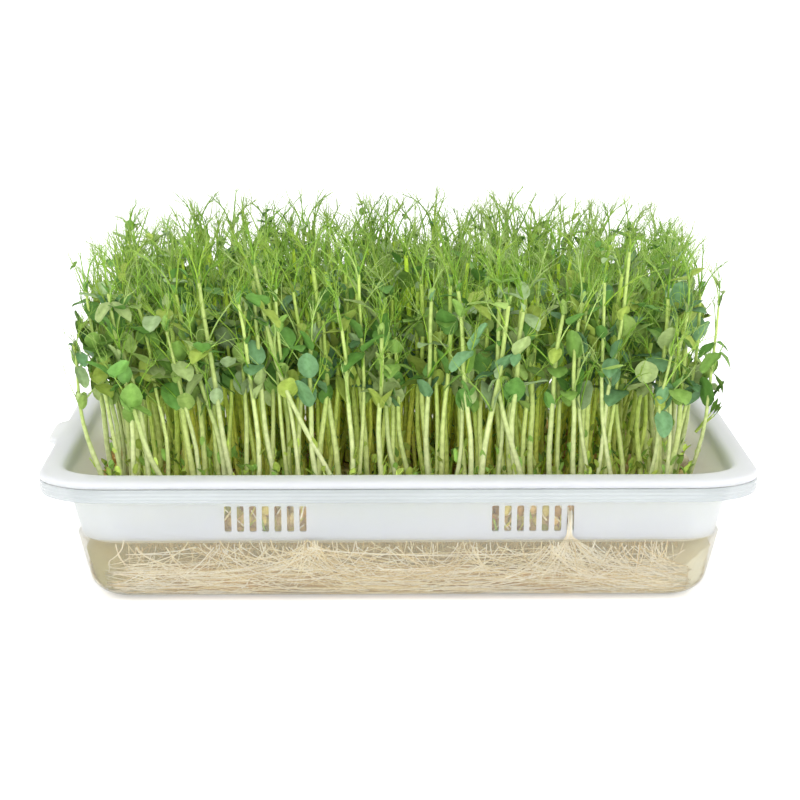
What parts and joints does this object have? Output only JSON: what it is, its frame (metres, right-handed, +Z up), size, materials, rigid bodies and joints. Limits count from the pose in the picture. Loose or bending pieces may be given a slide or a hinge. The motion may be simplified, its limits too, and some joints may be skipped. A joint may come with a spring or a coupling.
{
  "type": "pea shoot microgreens tray",
  "caption": "Dense stand of pea shoots growing from a bed of sprouted peas in a vented white basket, nested in a clear tray of water filled with roots.",
  "frame": {"origin": "centre of the flat foot of the clear outer tray, at the height of the surface it stands on", "axes": "+X along the tray's length to its right end, the end without a tab; +Y across the tray away from the side seen in front; +Z up"},
  "size_m": [0.345, 0.25, 0.1772],
  "materials": {
    "clear_plastic": "clear, smooth",
    "white_plastic": "white, satin",
    "water": "clear water, slightly clouded",
    "roots": "fine cream roots, wet",
    "seeds": "sprouted peas, beige and brown",
    "shoots": "leaf green, waxy bloom on the leaves"
  },
  "bodies": {
    "root": {"outer_tray": "clear_plastic", "basket": "white_plastic", "water": "water", "root_mat": "roots", "seed_bed": "seeds", "shoots_01": "shoots", "shoots_02": "shoots", "shoots_03": "shoots", "shoots_04": "shoots", "shoots_05": "shoots", "shoots_06": "shoots", "shoots_07": "shoots", "shoots_08": "shoots", "shoots_09": "shoots", "shoots_10": "shoots", "shoots_11": "shoots", "shoots_12": "shoots", "shoots_13": "shoots", "shoots_14": "shoots", "shoots_15": "shoots", "shoots_16": "shoots", "shoots_17": "shoots", "shoots_18": "shoots", "shoots_19": "shoots", "shoots_20": "shoots", "shoots_21": "shoots", "shoots_22": "shoots", "shoots_23": "shoots", "shoots_24": "shoots", "shoots_25": "shoots", "shoots_26": "shoots", "shoots_27": "shoots", "shoots_28": "shoots", "shoots_29": "shoots", "shoots_30": "shoots", "shoots_31": "shoots", "shoots_32": "shoots", "shoots_33": "shoots", "shoots_34": "shoots", "shoots_35": "shoots", "shoots_36": "shoots", "shoots_37": "shoots", "shoots_38": "shoots", "shoots_39": "shoots", "shoots_40": "shoots", "shoots_41": "shoots", "shoots_42": "shoots"}
  },
  "joints": []
}
